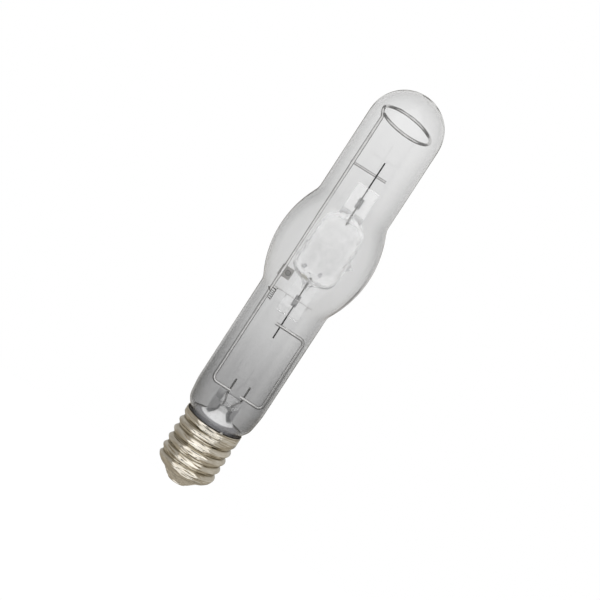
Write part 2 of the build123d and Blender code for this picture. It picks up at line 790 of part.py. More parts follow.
# Basing cement: fills the space between the neck and the shell's upper turns
cement_lower_r = shell_valley_inner_r * cos(pi / steps_per_turn) - seal_gap
with BuildPart() as basing_cement:
    with BuildSketch(Plane.XZ):
        with BuildLine():
            Polyline(
                (neck_r, cement_bottom_z),
                (cement_lower_r, cement_bottom_z),
                (cement_lower_r, cement_step_z),
                (shell_inner_r, cement_step_z),
                (shell_inner_r, shell_rim_z),
                (shell_inner_r - cement_lip, cement_top_z),
                (neck_r + cement_chamfer, cement_top_z),
                (neck_r, cement_top_z - cement_chamfer),
                close=True,
            )
        make_face()
    revolve(axis=Axis.Z)
    add(round_wire(shell_wire_points, shell_wire_bends, cap_wire_r + 2 * seal_gap), mode=Mode.SUBTRACT)
basing_cement.part.label = "basing_cement"
export_step(basing_cement.part, "parts/basing_cement.step")

# Side solder: a bead on the shell's rim over the end of the shell wire
with BuildPart() as side_solder:
    with Locations((shell_inner_r * solder_dir[0], shell_inner_r * solder_dir[1], shell_rim_z)):
        Sphere(side_solder_r)
    with BuildSketch(Plane.XY.offset(shell_rim_z)):
        Circle(thread_major_r + side_solder_r)
    extrude(amount=-2 * side_solder_r, mode=Mode.SUBTRACT)
    add(basing_cement.part, mode=Mode.SUBTRACT)
    add(shell_wire.part, mode=Mode.SUBTRACT)
side_solder.part.label = "side_solder"
export_step(side_solder.part, "parts/side_solder.step")
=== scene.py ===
from math import pi, radians

import bmesh
import bpy
import numpy as np
from mathutils import Matrix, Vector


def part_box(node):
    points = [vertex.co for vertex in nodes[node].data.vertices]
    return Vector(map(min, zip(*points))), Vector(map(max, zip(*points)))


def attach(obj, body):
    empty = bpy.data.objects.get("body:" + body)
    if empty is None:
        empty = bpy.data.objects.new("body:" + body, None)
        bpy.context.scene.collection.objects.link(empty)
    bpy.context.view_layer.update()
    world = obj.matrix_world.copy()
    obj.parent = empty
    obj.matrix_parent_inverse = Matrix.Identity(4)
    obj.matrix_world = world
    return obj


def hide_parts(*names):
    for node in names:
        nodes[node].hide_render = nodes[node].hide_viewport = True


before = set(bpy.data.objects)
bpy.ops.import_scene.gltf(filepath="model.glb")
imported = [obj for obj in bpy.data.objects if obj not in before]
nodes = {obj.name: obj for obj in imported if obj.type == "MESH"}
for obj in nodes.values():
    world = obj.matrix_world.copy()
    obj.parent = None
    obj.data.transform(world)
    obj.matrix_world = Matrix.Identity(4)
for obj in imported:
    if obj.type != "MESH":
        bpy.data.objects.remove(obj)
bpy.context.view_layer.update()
mm = 0.001

# Outer bulb. Clear hard glass, blown in a mould: tube, bulge, tube and dome in one wall of about
# a millimetre. Its neck stands in the cap's cement.
bulb_wall = 1.1
bulb_outline = [(16.95, 36.0), (16.95, 45.9), (18.8, 47.4), (22.3, 52.2), (23.7, 64.0), (23.7, 141.0)]
bulge_arc = [(23.7, 141.0), (32.7, 175.2), (25.0, 207.6)]
dome_r, dome_z = 25.0, 268.2


def arc_through(start, middle, end, steps):
    """Points of the circle through three points: its centre is where the chords' bisectors meet."""
    start, middle, end = (np.array(p, float) for p in (start, middle, end))
    chords = np.array([middle - start, end - middle])
    halfway = np.array([(start + middle) / 2, (middle + end) / 2])
    centre = np.linalg.solve(chords, (chords * halfway).sum(1))
    radius = np.linalg.norm(start - centre)
    first, last = (np.arctan2(*(p - centre)[::-1]) for p in (start, end))
    angle = np.linspace(first, last, steps)
    return centre + radius * np.stack([np.cos(angle), np.sin(angle)], 1)


def flow(points, spacing, softness):
    """Even points along a line, its corners softened as hot glass flows.

    Each point becomes the bell-weighted mean of its neighbours within three times the softness.
    The line is carried on past its ends, turned about them, so that the ends stay in place.
    """
    points = np.array(points, float)
    travelled = np.r_[0, np.cumsum(np.linalg.norm(np.diff(points, axis=0), axis=1))]
    count = max(int(travelled[-1] / spacing), 8)
    along = np.linspace(0, travelled[-1], count)
    even = np.stack([np.interp(along, travelled, p) for p in points.T], 1)
    reach = min(int(3 * softness / spacing) + 1, count - 2)
    before = 2 * even[:1] - even[reach:0:-1]
    after = 2 * even[-1:] - even[-2 : -reach - 2 : -1]
    longer = np.concatenate([before, even, after])
    bell = np.exp(-0.5 * (np.arange(-reach, reach + 1) * spacing / softness) ** 2)
    return np.stack([np.convolve(p, bell / bell.sum(), "valid") for p in longer.T], 1)


def inner_wall(outline, wall):
    """The outline moved by the wall along its own normal, to the left of its direction."""
    step = np.gradient(outline, axis=0)
    normal = np.stack([-step[:, 1], step[:, 0]], 1) / np.linalg.norm(step, axis=1)[:, None]
    return outline + wall * normal


def turned(profile, columns, centre=(0.0, 0.0)):
    """A profile of radius and height carried round a vertical axis: rows up the profile, columns round."""
    angle = np.linspace(0, 2 * pi, columns, endpoint=False)
    r, z = profile[:, :1], profile[:, 1:]
    return np.stack([centre[0] + r * np.cos(angle), centre[1] + r * np.sin(angle), z + 0 * angle], -1)


def skin(name, *grids, crease=50, lined=0):
    """One closed mesh, in metres, from grids of points in millimetres.

    Neighbouring rows and columns are joined by four-sided faces. Columns close on themselves, rows
    that shrink to a point close as poles, and a face looks outwards where columns run
    anticlockwise and rows run up. The faces of the first lined rows take the second material.
    """
    points, faces, first = [], [], 0
    for grid in grids:
        rows, columns = grid.shape[:2]
        here = first + np.arange(rows * columns).reshape(rows, columns)
        beside = np.roll(here, -1, axis=1)
        faces.append(np.stack([here[:-1], beside[:-1], beside[1:], here[1:]], -1).reshape(-1, 4))
        points.append(grid.reshape(-1, 3) * mm)
        first += rows * columns
    mesh = bpy.data.meshes.new(name)
    mesh.from_pydata(np.concatenate(points), [], np.concatenate(faces))
    in_lining = np.arange(len(mesh.polygons)) < lined * grids[0].shape[1]
    mesh.polygons.foreach_set("material_index", in_lining.astype(np.int32))
    work = bmesh.new()
    work.from_mesh(mesh)
    bmesh.ops.remove_doubles(work, verts=work.verts, dist=1e-6)
    work.to_mesh(mesh)
    work.free()
    mesh.shade_smooth()
    mesh.set_sharp_from_angle(angle=radians(crease))
    piece = bpy.data.objects.new(name, mesh)
    bpy.context.scene.collection.objects.link(piece)
    return piece


def colour(code):
    """Linear RGBA of an sRGB hex code, by the sRGB curve's straight foot and its power of 2.4."""
    parts = np.array([int(code[k : k + 2], 16) for k in (1, 3, 5)]) / 255
    return (*np.where(parts <= 0.04045, parts / 12.92, ((parts + 0.055) / 1.055) ** 2.4), 1.0)


def add_node(tree, kind, inputs=(), stops=(), **settings):
    """Add a shader node with its settings, its inputs as sockets to link or as values, and a ramp's
    stops from left to right, of which a new ramp already has two."""
    node = tree.nodes.new(kind)
    for name, value in settings.items():
        setattr(node, name, value)
    for name, value in dict(inputs).items():
        if isinstance(value, bpy.types.NodeSocket):
            tree.links.new(value, node.inputs[name])
        else:
            node.inputs[name].default_value = value
    for order, (position, shade) in enumerate(stops):
        ramp = node.color_ramp.elements
        stop = ramp[order] if order < 2 else ramp.new(position)
        stop.position = position
        stop.color = shade
    return node


def new_material(name):
    """A material with nothing in its node tree but the object's coordinates, which it also gives."""
    material = bpy.data.materials.new(name)
    material.use_nodes = True
    material.node_tree.nodes.clear()
    place = add_node(material.node_tree, "ShaderNodeTexCoord")
    return material, material.node_tree, place.outputs["Object"]


def dress(piece, material, replaced=(), slot=None):
    """Give a piece its material; a new piece also rides on the lamp and stands for its CAD nodes."""
    if piece.material_slots:
        for held in piece.material_slots:
            held.material = material
    else:
        piece.data.materials.append(material)
    if slot:
        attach(piece, "root")
        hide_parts(*replaced)


bulge = arc_through(*bulge_arc, 60)
dome_angle = np.linspace(0, pi / 2, 40)[:, None]
dome = np.array([0, dome_z]) + dome_r * np.hstack([np.cos(dome_angle), np.sin(dome_angle)])
bulb_outer = flow(np.concatenate([bulb_outline[:-1], bulge, dome]), 1.2, 1.7)
bulb_inner = inner_wall(bulb_outer, bulb_wall)
bulb_inner[-1, 0] = 0
bulb = skin("bulb_glass_wall", turned(np.concatenate([bulb_inner[::-1], bulb_outer]), 144))

# Blown borosilicate glass: clear and glossy, with long soft waves from the tube it was drawn as.
# Its far side is tinted grey as painted shade, darkest near the neck and fading out up the wall,
# so the wires shine against it; the near side is tinted only faintly.
bulb_glass, tree, place = new_material("blown_borosilicate_glass")
height = add_node(tree, "ShaderNodeSeparateXYZ", {"Vector": place})
share = add_node(
    tree,
    "ShaderNodeMapRange",
    {"Value": height.outputs["Z"], "From Min": 36 * mm, "From Max": 296 * mm},
)
near_tint = add_node(
    tree,
    "ShaderNodeValToRGB",
    {"Fac": share.outputs[0]},
    stops=[(0.0, colour("#fafafa")), (1.0, colour("#fdfdfd"))],
)
# Painted shade: the far wall's grey tint, darkest near the neck and paler up the wall.
far_shade_tint = add_node(
    tree,
    "ShaderNodeValToRGB",
    {"Fac": share.outputs[0]},
    stops=[
        (0.0, colour("#a2a2a2")),
        (0.05, colour("#9a9a9a")),
        (0.09, colour("#9d9d9d")),
        (0.18, colour("#aeaeae")),
        (0.28, colour("#c8c8c8")),
        (0.45, colour("#dadada")),
        (0.62, colour("#dbdbdb")),
        (0.8, colour("#e6e6e6")),
        (1.0, colour("#f0f0f0")),
    ],
)
behind = add_node(
    tree,
    "ShaderNodeMapRange",
    {"Value": height.outputs["Y"], "From Min": -19 * mm, "From Max": -9 * mm},
)
# Two darker bands of painted shade lie on the far wall, 3 to 9 mm to each side of the stem.
aside = add_node(tree, "ShaderNodeMath", {0: height.outputs["X"]}, operation="ABSOLUTE")
aside_share = add_node(
    tree,
    "ShaderNodeMapRange",
    {"Value": aside.outputs[0], "From Min": 0.0, "From Max": 14 * mm},
)
stem_shade_bands = add_node(
    tree,
    "ShaderNodeValToRGB",
    {"Fac": aside_share.outputs[0]},
    stops=[
        (0.2, colour("#000000")),
        (0.28, colour("#ffffff")),
        (0.62, colour("#ffffff")),
        (0.7, colour("#000000")),
    ],
)
band_top = add_node(
    tree,
    "ShaderNodeMapRange",
    {
        "Value": height.outputs["Z"],
        "From Min": 56 * mm,
        "From Max": 62 * mm,
        "To Min": 0.55,
        "To Max": 0.0,
    },
)
band = add_node(
    tree,
    "ShaderNodeMath",
    {0: stem_shade_bands.outputs[0], 1: band_top.outputs[0]},
    operation="MULTIPLY",
)
# In a colour mix, input 0 is the share of the second colour, and 6 and 7 are the two colours.
# Painted shade: dark grey bands on the far wall beside the stem, fading out between 56 and 62 mm.
banded_far_shade = add_node(
    tree,
    "ShaderNodeMix",
    {0: band.outputs[0], 6: far_shade_tint.outputs[0], 7: colour("#3a3a3b")},
    data_type="RGBA",
)
# Painted shade: the wall on the camera's side takes the faint tint, the rest takes the grey one.
far_side_shade = add_node(
    tree,
    "ShaderNodeMix",
    {0: behind.outputs[0], 6: near_tint.outputs[0], 7: banded_far_shade.outputs[2]},
    data_type="RGBA",
)
waves_across, waves_up = 0.06 / mm, 0.006 / mm
long_waves = add_node(
    tree, "ShaderNodeMapping", {"Vector": place, "Scale": (waves_across, waves_across, waves_up)}
)
waves = add_node(
    tree, "ShaderNodeTexNoise", {"Vector": long_waves.outputs[0], "Scale": 1.0, "Detail": 2.0}
)
wave_bump = add_node(
    tree,
    "ShaderNodeBump",
    {"Strength": 0.15, "Distance": 2 * mm, "Height": waves.outputs[0]},
)
shader = add_node(
    tree,
    "ShaderNodeBsdfPrincipled",
    {
        "Base Color": far_side_shade.outputs[2],
        "Transmission Weight": 1.0,
        "Roughness": 0.0,
        "IOR": 1.5,
        "Normal": wave_bump.outputs[0],
    },
)
add_node(tree, "ShaderNodeOutputMaterial", {"Surface": shader.outputs[0]})
dress(bulb, bulb_glass, ["outer_bulb"], "bulb_glass")
# Clear glass lets the lamps' light through to what it holds; so do the stem and the arc tube.
bulb.visible_shadow = False

# Glass stem. A glass tube, flared below to meet the neck and pressed flat above round the two
# leads. The flame works it milky, so it looks white against the clear bulb.
stem_x, stem_r, stem_wall = 1.2, 4.75, 1.1
neck_inner_r = 15.9
lip_z, flare_z, flare_top_z, tube_top_z = 36.0, 46.5, 54.5, 57.0
flare_shape = [(0, 1), (0.1, 0.84), (0.26, 0.63), (0.46, 0.43), (0.7, 0.2), (0.9, 0.04), (1, 0)]
press_x, press_half_w, press_half_t = 2.1, 6.5, 2.0
press_z, press_top_z = 60.5, 66.0


def flattened(centre_x, half_x, half_y, power, z, columns):
    """Rings of a rounded box about a vertical axis, one row for each height.

    Each ring is the curve where the powers of x over its half width and of y over its half depth
    add up to one, a circle at a power of two and nearly a rectangle at six.
    """
    angle = np.linspace(0, 2 * pi, columns, endpoint=False)
    c, s = np.cos(angle), np.sin(angle)
    bend = 2 / np.array(power, float)[:, None]
    x = np.array(half_x)[:, None] * np.sign(c) * np.abs(c) ** bend
    y = np.array(half_y)[:, None] * np.sign(s) * np.abs(s) ** bend
    return np.stack([np.array(centre_x)[:, None] + x, y, np.array(z)[:, None] + 0 * angle], -1)


def eased(value, start, end):
    """Nought before start, one after end, and a smooth cubic step between."""
    t = np.clip((value - start) / (end - start), 0, 1)
    return t * t * (3 - 2 * t)


def stem_rings(wall, top_z):
    """The stem's rings from its lip up: the flare narrows by its shape's softened line."""
    share, spread = flow([(-2, 1)] + flare_shape + [(2, 0)], 0.02, 0.06).T
    z = np.concatenate([[lip_z, flare_z - 1.5], np.linspace(flare_z - 1, top_z, 60)])
    up_flare = (z - flare_z) / (flare_top_z - flare_z)
    r = stem_r + (neck_inner_r - 0.02 - stem_r) * np.interp(up_flare, share, spread) - wall
    flat = eased(z, tube_top_z, press_z)
    centre_x = stem_x * np.clip(up_flare, 0, 1) + (press_x - stem_x) * flat
    half_x = r + (press_half_w - r) * flat
    half_y = r + (press_half_t - r) * flat
    return np.stack([centre_x, half_x, half_y, 2 + 3 * flat, z])


# The press's top is rounded in from its last ring: how much narrower, thinner and higher it gets.
# The bore ends in a flat roof under the press, and its rows down to the lip carry the painted-light
# lining.
stem_outer = stem_rings(0.0, press_top_z - 0.5)
stem_inner = stem_rings(stem_wall, tube_top_z)
rounding = [[0, 0, 0], [-0.5, -1.2, -6.5], [-0.5, -0.6, -2.0], [0, 0, 0], [0.5, 0.62, 0.66]]
stem_top = stem_outer[:, -1:] + np.array(rounding)
stem_roof = np.array([[stem_x], [0.0], [0.0], [2.0], [tube_top_z]])
bore_rows = 59
stem = skin(
    "stem_glass_body",
    flattened(*np.concatenate([stem_roof, stem_inner[:, ::-1], stem_outer, stem_top], 1), 72),
    lined=bore_rows,
)

# Flame-worked hard glass: slightly milky, with threads drawn out along it. Above the flare its
# edges, where the walls are seen edge-on and through their whole depth, are painted dark grey as shade.
stem_glass, tree, place = new_material("flame_worked_stem_glass")
threads_across, threads_up = 0.5 / mm, 0.06 / mm
streaks = add_node(
    tree, "ShaderNodeMapping", {"Vector": place, "Scale": (threads_across, threads_across, threads_up)}
)
threads = add_node(
    tree, "ShaderNodeTexNoise", {"Vector": streaks.outputs[0], "Scale": 1.0, "Detail": 3.0}
)
milk = add_node(
    tree,
    "ShaderNodeValToRGB",
    {"Fac": threads.outputs[0]},
    stops=[(0.3, colour("#ececeb")), (0.6, colour("#ffffff"))],
)
height = add_node(tree, "ShaderNodeSeparateXYZ", {"Vector": place})
facing = add_node(tree, "ShaderNodeLayerWeight", {"Blend": 0.5})
edge = add_node(
    tree,
    "ShaderNodeMapRange",
    {"Value": facing.outputs["Facing"], "From Min": 0.3, "From Max": 0.75},
)
above_cone = add_node(
    tree,
    "ShaderNodeMapRange",
    {"Value": height.outputs["Z"], "From Min": 49 * mm, "From Max": 52.5 * mm},
)
edge_shade_share = add_node(
    tree, "ShaderNodeMath", {0: edge.outputs[0], 1: above_cone.outputs[0]}, operation="MULTIPLY"
)
# Painted shade: above the flare, the walls' edges are mixed towards dark grey.
edge_shaded_milk = add_node(
    tree,
    "ShaderNodeMix",
    {0: edge_shade_share.outputs[0], 6: milk.outputs[0], 7: colour("#505051")},
    data_type="RGBA",
)
stem_bump = add_node(
    tree,
    "ShaderNodeBump",
    {"Strength": 0.3, "Distance": 1 * mm, "Height": threads.outputs[0]},
)
clearing = add_node(
    tree,
    "ShaderNodeMapRange",
    {
        "Value": height.outputs["Z"],
        "From Min": 48 * mm,
        "From Max": 55 * mm,
        "To Min": 0.94,
        "To Max": 0.93,
    },
)
shader = add_node(
    tree,
    "ShaderNodeBsdfPrincipled",
    {
        "Base Color": edge_shaded_milk.outputs[2],
        "Transmission Weight": clearing.outputs[0],
        "Roughness": 0.05,
        "IOR": 1.35,
        "Normal": stem_bump.outputs[0],
    },
)
add_node(tree, "ShaderNodeOutputMaterial", {"Surface": shader.outputs[0]})
dress(stem, stem_glass, ["glass_stem"], "stem_glass")

# A white lining on the bore is painted light, bright on the cone and greyer up the tube. Two
# streaks of painted shade run down it where the leads pass, and towards the rim it is a bluish grey, also
# painted shade.
bore_light_lining, tree, place = new_material("bore_lining_painted_light")
parts = add_node(tree, "ShaderNodeSeparateXYZ", {"Vector": place})
flat_place = add_node(
    tree,
    "ShaderNodeVectorMath",
    {0: place, 1: (1, 1, 0)},
    operation="MULTIPLY",
)
from_axis = add_node(tree, "ShaderNodeVectorMath", {0: flat_place.outputs[0]}, operation="LENGTH")
sideways = add_node(tree, "ShaderNodeMath", {0: parts.outputs["X"]}, operation="ABSOLUTE")
turned_by = add_node(
    tree,
    "ShaderNodeMath",
    {0: sideways.outputs[0], 1: from_axis.outputs["Value"]},
    operation="DIVIDE",
)
at_sides = add_node(
    tree,
    "ShaderNodeMapRange",
    {"Value": turned_by.outputs[0], "From Min": 0.7, "From Max": 0.78},
)
streak_end = add_node(
    tree,
    "ShaderNodeMapRange",
    {
        "Value": from_axis.outputs["Value"],
        "From Min": 7.8 * mm,
        "From Max": 9.2 * mm,
        "To Min": 1.0,
        "To Max": 0.0,
    },
)
# Painted shade: dark streaks at the sides of the bore, ending towards the rim.
streak = add_node(
    tree,
    "ShaderNodeMath",
    {0: at_sides.outputs[0], 1: streak_end.outputs[0]},
    operation="MULTIPLY",
)
# Painted shade: the lining turns a bluish grey towards the rim.
rim = add_node(
    tree,
    "ShaderNodeMapRange",
    {"Value": from_axis.outputs["Value"], "From Min": 10.8 * mm, "From Max": 11.6 * mm},
)
lining_height_share = add_node(
    tree,
    "ShaderNodeMapRange",
    {"Value": parts.outputs["Z"], "From Min": 46.5 * mm, "From Max": 57.5 * mm},
)
# Painted light: the lining is near white on the cone and greyer up the tube.
lining_light_grey = add_node(
    tree,
    "ShaderNodeValToRGB",
    {"Fac": lining_height_share.outputs[0]},
    stops=[
        (0.0, colour("#e4e4e4")),
        (0.66, colour("#d4d4d4")),
        (0.74, colour("#b2b2b2")),
        (1.0, colour("#acacac")),
    ],
)
shade_streaked = add_node(
    tree,
    "ShaderNodeMix",
    {0: streak.outputs[0], 6: lining_light_grey.outputs[0], 7: colour("#3c3c3d")},
    data_type="RGBA",
)
rim_shaded = add_node(
    tree,
    "ShaderNodeMix",
    {0: rim.outputs[0], 6: shade_streaked.outputs[2], 7: colour("#6c6c70")},
    data_type="RGBA",
)
shader = add_node(
    tree, "ShaderNodeBsdfPrincipled", {"Base Color": rim_shaded.outputs[2], "Roughness": 0.4}
)
add_node(tree, "ShaderNodeOutputMaterial", {"Surface": shader.outputs[0]})
stem.data.materials.append(bore_light_lining)
stem.visible_shadow = False

# Exhaust tube. The thin glass tube through which the bulb was pumped, joined to the stem under
# its press and melted shut at its lower end in the cap.
exhaust_r, exhaust_wall, exhaust_end_z = 2.0, 0.7, 22.0


def test_tube(radius, end_z, top_z):
    """The outline of a tube with a round end: a quarter circle from the axis, then straight up."""
    angle = np.linspace(-pi / 2, 0, 12)[:, None]
    end = np.array([0, end_z + radius]) + radius * np.hstack([np.cos(angle), np.sin(angle)])
    return np.concatenate([end, [[radius, top_z]]])


exhaust_outer = test_tube(exhaust_r, exhaust_end_z, tube_top_z)
exhaust_inner = test_tube(exhaust_r - exhaust_wall, exhaust_end_z + exhaust_wall, tube_top_z)
exhaust = skin(
    "exhaust_tube_glass",
    turned(np.concatenate([exhaust_outer, exhaust_inner[::-1]]), 48, (stem_x, 0.0)),
)
dress(exhaust, stem_glass, ["exhaust_tube"], "stem_glass")

# Wires of the mount. Stiff nickel-plated steel wire, bent cold on pins and spot-welded: the frame
# wire with its ring in the dome, the return wire and the crossbars. Leads and cap wires are
# plain nickel.

# Drawn nickel plating: nearly white and bright, with duller stains 3 mm wide.
frame_nickel, tree, place = new_material("drawn_nickel_wire")
dulling = add_node(
    tree, "ShaderNodeTexNoise", {"Vector": place, "Scale": 0.35 / mm, "Detail": 3.0}
)
tarnish = add_node(
    tree,
    "ShaderNodeValToRGB",
    {"Fac": dulling.outputs[0]},
    stops=[(0.3, colour("#cfcecd")), (0.7, colour("#e6e5e4"))],
)
polish = add_node(
    tree,
    "ShaderNodeMapRange",
    {"Value": dulling.outputs[0], "To Min": 0.12, "To Max": 0.22},
)
shader = add_node(
    tree,
    "ShaderNodeBsdfPrincipled",
    {"Base Color": tarnish.outputs[0], "Metallic": 1.0, "Roughness": polish.outputs[0]},
)
add_node(tree, "ShaderNodeOutputMaterial", {"Surface": shader.outputs[0]})
for name in ("frame_wire", "return_wire", "upper_crossbar", "pinch_wire"):
    dress(nodes[name], frame_nickel)


def mottled(name, fineness, detail, stops, finish, bump=None):
    """A material whose colour wanders between stops, by noise with so many patches to a millimetre.

    The finish holds the shader's other inputs. A bump, as strength and distance, raises the patches.
    """
    material, tree, place = new_material(name)
    patches = add_node(
        tree, "ShaderNodeTexNoise", {"Vector": place, "Scale": fineness / mm, "Detail": detail}
    )
    shades = add_node(tree, "ShaderNodeValToRGB", {"Fac": patches.outputs[0]}, stops=stops)
    inputs = {"Base Color": shades.outputs[0], **finish}
    if bump:
        relief = {"Strength": bump[0], "Distance": bump[1], "Height": patches.outputs[0]}
        inputs["Normal"] = add_node(tree, "ShaderNodeBump", relief).outputs[0]
    shader = add_node(tree, "ShaderNodeBsdfPrincipled", inputs)
    add_node(tree, "ShaderNodeOutputMaterial", {"Surface": shader.outputs[0]})
    return material


# Plain nickel that the flame has oxidised: darker and duller, in patches.
lead_nickel = mottled(
    "plain_nickel_lead",
    fineness=0.5,
    detail=2.0,
    stops=[(0.3, colour("#656361")), (0.7, colour("#8f8d8a"))],
    finish={"Metallic": 1.0, "Roughness": 0.35},
)
for name in ("shell_lead", "contact_lead", "shell_wire", "contact_wire", "frame_tie"):
    dress(nodes[name], lead_nickel)

# Getter. A small steel plate welded behind the frame wire, with a pressed pill of getter metal on
# its front that takes up stray gas.

# Rolled steel: a soft grey sheen with upright rolling lines, drawn coarser than real so they show.
getter_steel, tree, place = new_material("rolled_getter_steel")
lines_across, lines_up = 3 / mm, 0.3 / mm
rolling = add_node(
    tree, "ShaderNodeMapping", {"Vector": place, "Scale": (lines_across, lines_across, lines_up)}
)
lines = add_node(
    tree, "ShaderNodeTexNoise", {"Vector": rolling.outputs[0], "Scale": 1.0, "Detail": 2.0}
)
sheet_grey = add_node(
    tree,
    "ShaderNodeValToRGB",
    {"Fac": lines.outputs[0]},
    stops=[(0.3, colour("#9a9997")), (0.7, colour("#c0bebb"))],
)
shader = add_node(
    tree,
    "ShaderNodeBsdfPrincipled",
    {"Base Color": sheet_grey.outputs[0], "Metallic": 1.0, "Roughness": 0.4},
)
add_node(tree, "ShaderNodeOutputMaterial", {"Surface": shader.outputs[0]})
dress(nodes["getter_strap"], getter_steel)

# Pressed powder: matt grey with a dark pressed rim, its grains drawn coarser than real so they show.
getter_powder, tree, place = new_material("pressed_getter_powder")
grains = add_node(
    tree, "ShaderNodeTexNoise", {"Vector": place, "Scale": 4 / mm, "Detail": 3.0}
)
powder_grey = add_node(
    tree,
    "ShaderNodeValToRGB",
    {"Fac": grains.outputs[0]},
    stops=[(0.3, colour("#5f5e5c")), (0.7, colour("#8c8b88"))],
)
low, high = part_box("getter_disc")
pill_middle = tuple((a + b) / 2 for a, b in zip(low, high))
off_middle = add_node(
    tree,
    "ShaderNodeVectorMath",
    {0: place, 1: pill_middle},
    operation="DISTANCE",
)
pill_r = (high[2] - low[2]) / 2
pressed_rim = add_node(
    tree,
    "ShaderNodeMapRange",
    {"Value": off_middle.outputs["Value"], "From Min": 0.72 * pill_r, "From Max": 0.9 * pill_r},
)
pill_grey = add_node(
    tree,
    "ShaderNodeMix",
    {0: pressed_rim.outputs[0], 6: powder_grey.outputs[0], 7: colour("#3d3c3b")},
    data_type="RGBA",
)
powder_bump = add_node(
    tree, "ShaderNodeBump", {"Strength": 0.4, "Distance": 0.2 * mm, "Height": grains.outputs[0]}
)
shader = add_node(
    tree,
    "ShaderNodeBsdfPrincipled",
    {"Base Color": pill_grey.outputs[2], "Roughness": 0.85, "Normal": powder_bump.outputs[0]},
)
add_node(tree, "ShaderNodeOutputMaterial", {"Surface": shader.outputs[0]})
dress(nodes["getter_disc"], getter_powder)

# Coils. The starter coil is a small open spiral beside the frame wire. The electrode coils are
# four turns of tungsten wound on each rod behind its tip.


def coil(axis_x, axis_y, bottom_z, helix_r, wire_r, pitch, turns, around=14, per_turn=40):
    """A wire spiral about a vertical axis.

    A point of its centre line turns evenly while it rises by the pitch for each turn, and round it
    runs a circle in the plane of the outward direction and the direction square to the wire. The
    circle shrinks to a point over the wire's own radius at both ends.
    """
    rise = pitch / (2 * pi)
    slope = np.hypot(helix_r, rise)
    quarter = np.linspace(0, pi / 2, 5)[:-1]
    past_end = np.cos(quarter) * wire_r / slope
    whole = np.linspace(0, 2 * pi * turns, int(turns * per_turn))
    t = np.concatenate([-past_end, whole, whole[-1] + past_end[::-1]])
    end_size = wire_r * np.sin(quarter)
    size = np.concatenate([end_size, np.full(len(whole), wire_r), end_size[::-1]])
    outward = np.stack([np.cos(t), np.sin(t), 0 * t], 1)
    along = np.stack([-helix_r * np.sin(t), helix_r * np.cos(t), 0 * t + rise], 1) / slope
    square = np.cross(along, outward)
    centre = [axis_x, axis_y, bottom_z] + helix_r * outward + np.outer(t, [0, 0, rise])
    angle = np.linspace(0, 2 * pi, around, endpoint=False)[None, :, None]
    ring = np.cos(angle) * outward[:, None] + np.sin(angle) * square[:, None]
    return centre[:, None] + size[:, None, None] * ring


starter_r, starter_wire_r, starter_pitch, starter_turns = 1.2, 0.225, 1.45, 6
winding_r, winding_wire_r, winding_pitch, winding_turns = 0.9, 0.38, 1.1, 4
low, high = (np.array(corner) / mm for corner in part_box("starter_coil"))
middle = (low + high) / 2
starter_z = low[2] + starter_wire_r
starter = skin(
    "starter_coil_wire",
    coil(*middle[:2], starter_z, starter_r, starter_wire_r, starter_pitch, starter_turns),
)

# Etched tungsten: dark grey with a dull sheen, its crystals drawn coarser than real so they show.
tungsten, tree, place = new_material("etched_tungsten")
crystals = add_node(
    tree, "ShaderNodeTexVoronoi", {"Vector": place, "Scale": 2.5 / mm}
)
tungsten_grey = add_node(
    tree,
    "ShaderNodeValToRGB",
    {"Fac": crystals.outputs["Distance"]},
    stops=[(0.0, colour("#77746f")), (0.6, colour("#56544f"))],
)
shader = add_node(
    tree,
    "ShaderNodeBsdfPrincipled",
    {"Base Color": tungsten_grey.outputs[0], "Metallic": 1.0, "Roughness": 0.4},
)
add_node(tree, "ShaderNodeOutputMaterial", {"Surface": shader.outputs[0]})
dress(starter, tungsten, ["starter_coil"], "frame_nickel")
for name in ("upper_electrode", "lower_electrode"):
    dress(nodes[name], tungsten)
for name in ("upper_electrode_coil", "lower_electrode_coil"):
    low, high = (np.array(corner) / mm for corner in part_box(name))
    middle = (low + high) / 2
    winding_z = low[2] + winding_wire_r
    winding = skin(
        name + "_wire",
        coil(*middle[:2], winding_z, winding_r, winding_wire_r, winding_pitch, winding_turns),
    )
    dress(winding, tungsten, [name], "tungsten")

# Arc tube. Fused quartz: a round chamber with a tipped-off filling pip, pinched flat and gas-tight
# over the foils at both ends while white-hot; its material whitens the ends as a painted highlight.
arc_x, arc_z = 1.6, 176.4
arc_r, arc_wall, arc_half_h, arc_end_r = 15.6, 2.0, 13.4, 7.5
pinch_half_w, pinch_half_t, pinch_start_h, pinch_end_h = 7.8, 2.1, 29.5, 48.4
pocket_r, pocket_start_h, pocket_end_h = 2.2, 23.0, 27.5
pip_z, pip_h, pip_r = 175.2, 3.6, 2.4


def vessel_half(radius, end_r):
    """Half of the chamber's outline from its middle up: straight, then a quarter circle to the neck."""
    angle = np.linspace(0, pi / 2, 24)[:, None]
    neck = np.array([radius - end_r, arc_half_h])
    end = neck + end_r * np.hstack([np.cos(angle), np.sin(angle)])
    return np.concatenate([[[radius, 0.0]], end])


# The lower shoulder is a round end, the upper one longer and more sloping. Shares of the squeeze
# turn the round outline into the pinch's flat box, whose trimmed ends are rounded in.
neck_r = arc_r - arc_end_r
upper_shoulder = [(arc_r, 0.0), (arc_r, 13.0), (14.0, 20.2), (8.0, 26.4)]
end_rounding, end_thinning = 0.93, 0.8


def pinched(shoulder):
    """A shoulder's line carried on up the pinch to its trimmed end, and in to the axis."""
    edge = [[neck_r - 0.6, pinch_start_h], [neck_r - 0.8, pinch_end_h - 0.6]]
    end = [[neck_r - 0.8, pinch_end_h - 0.25], [neck_r - 0.8, pinch_end_h], [0.0, pinch_end_h]]
    return np.concatenate([flow(np.concatenate([shoulder, edge]), 0.55, 0.9), end])


